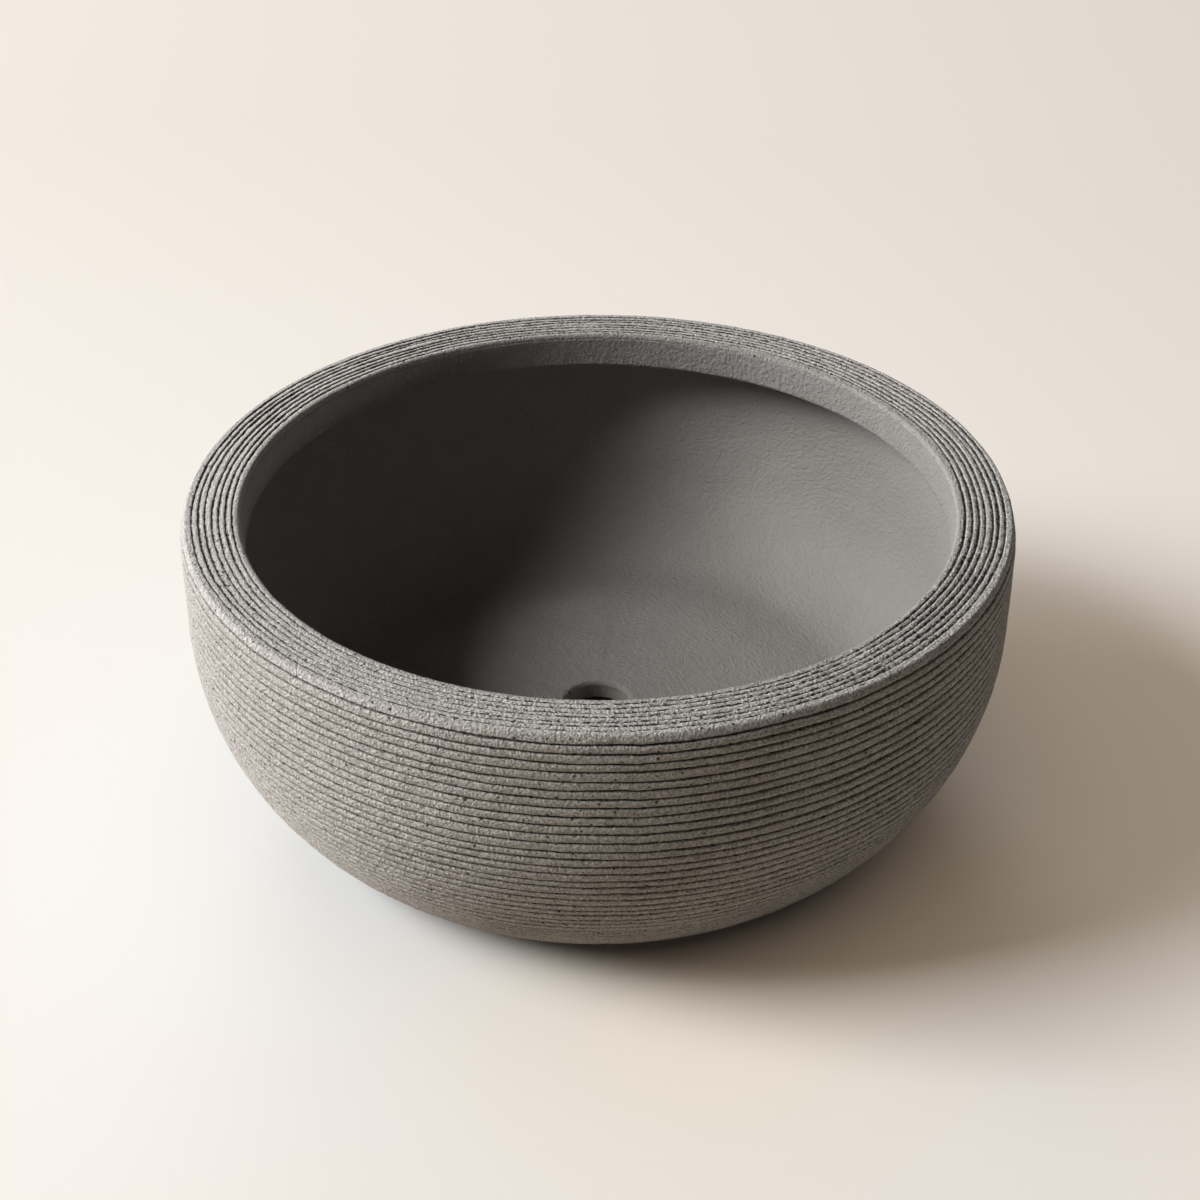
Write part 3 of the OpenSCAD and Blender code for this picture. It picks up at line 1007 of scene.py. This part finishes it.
def floor_lift(m, x):
    """How strongly the floor is lifted for the camera, with less lift near the bowl as painted contact
    shade.
    """
    away = distance_from(m, (0.0, 0.0, 0.0))
    # Painted contact shade: the lift fades towards the bowl
    fall = m.math("DIVIDE", m.minus(away, OPEN_START), -OPEN_REACH)
    shade = m.times(m.math("POWER", math.e, fall), OPEN_LOSS)
    openness = m.larger(m.minus(1.0, shade), 0.0)
    return m.plus(m.times(openness, FLOOR_LIFT), m.spread(x, FAR_FROM, FAR_TO, 0.0, FAR_LIFT))


def studio_floor():
    """Pale paper that throws warm light. Camera rays see it lifted away from the bowl and less near it,
    which paints contact shade round the bowl.
    """
    m = Nodes("studio_floor")
    seen = seen_directly(m.tree)
    x = m.split(m.place)["X"]
    m.put(m.shader, "Base Color", m.mix(seen, FLOOR_BOUNCE, floor_colour(m, x)))
    m.put(m.shader, "Roughness", 1.0)
    m.put(m.shader, "Specular IOR Level", 0.0)
    m.put(m.shader, "Emission Color", (*FLOOR_LIFT_COLOUR, 1.0))
    m.put(m.shader, "Emission Strength", m.times(seen, floor_lift(m, x)))
    return m.material


def make_floor():
    """A round floor, so that no corner of it shows from a low view."""
    mesh = bpy.data.meshes.new("studio_floor")
    turns = [FULL_TURN * side / FLOOR_SIDES for side in range(FLOOR_SIDES)]
    points = [(FLOOR_RADIUS * math.cos(turn), FLOOR_RADIUS * math.sin(turn), 0) for turn in turns]
    mesh.from_pydata(points, [], [range(FLOOR_SIDES)])
    mesh.materials.append(studio_floor())
    floor = bpy.data.objects.new("studio_floor", mesh)
    bpy.context.scene.collection.objects.link(floor)
    return floor


def add_light(name, azimuth, elevation, width, height, power, colour):
    """A soft box that looks at the bowl from azimuth and elevation, in degrees."""
    data = bpy.data.lights.new(name, "AREA")
    data.shape = "RECTANGLE"
    data.size = width
    data.size_y = height
    data.energy = power
    data.color = colour
    a = math.radians(azimuth)
    e = math.radians(elevation)
    place = LIGHT_DISTANCE * Vector((math.cos(a) * math.cos(e), math.sin(a) * math.cos(e), math.sin(e)))
    light = bpy.data.objects.new(name, data)
    light.location = place + Vector((0, 0, rim_top / 2))
    light.rotation_euler = place.to_track_quat("Z", "Y").to_euler()
    bpy.context.scene.collection.objects.link(light)


def add_world():
    """A faint fill for the bowl, and a pale backdrop for what is seen directly."""
    world = bpy.data.worlds.new("world")
    bpy.context.scene.world = world
    world.use_nodes = True
    tree = world.node_tree
    fill = tree.nodes["Background"]
    fill.inputs["Color"].default_value = (*FILL_COLOUR, 1.0)
    fill.inputs["Strength"].default_value = FILL_STRENGTH
    backdrop = tree.nodes.new("ShaderNodeBackground")
    backdrop.inputs["Color"].default_value = (*BACKDROP_SEEN, 1.0)
    either = tree.nodes.new("ShaderNodeMixShader")
    tree.links.new(seen_directly(tree), either.inputs["Fac"])
    tree.links.new(fill.outputs["Background"], either.inputs[1])
    tree.links.new(backdrop.outputs["Background"], either.inputs[2])
    tree.links.new(either.outputs["Shader"], tree.nodes["World Output"].inputs["Surface"])


def add_camera():
    """The camera of the photograph."""
    data = bpy.data.cameras.new("camera")
    data.lens = CAMERA_LENS
    data.sensor_width = CAMERA_SENSOR
    data.clip_end = CAMERA_REACH
    camera = bpy.data.objects.new("camera", data)
    camera.matrix_world = (Matrix.Translation(CAMERA_PLACE)
                           @ Matrix.Rotation(math.radians(CAMERA_TURN), 4, "Z")
                           @ Matrix.Rotation(math.radians(90 - CAMERA_BELOW_LEVEL), 4, "X")
                           @ Matrix.Rotation(math.radians(CAMERA_ROLL), 4, "Z"))
    bpy.context.scene.collection.objects.link(camera)
    bpy.context.scene.camera = camera


# Pieces

combed = make_face_coat()
combed.data.materials.append(combed_clay())
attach(combed, "root")
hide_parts("face_coat")

inside = make_inner_coat()
inside.data.materials.append(trowelled_clay())
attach(inside, "root")
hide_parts("inner_coat")

clay = body_clay()
mat = glass_mat()
finishes = {"wall_clay": clay, "haunch_core": clay, "rim_core": clay, "floor_clay": clay,
            "inner_clay": clay, "wall_mat": mat, "rim_mat": mat, "floor_mat": mat}
for name, material in finishes.items():
    node = frame["nodes"][name]
    node.data.materials.clear()
    node.data.materials.append(material)

# The studio round them

floor = make_floor()
for name, values in LIGHTS.items():
    add_light(name, *values)
add_world()
add_camera()
bpy.context.scene.view_settings.view_transform = "Standard"
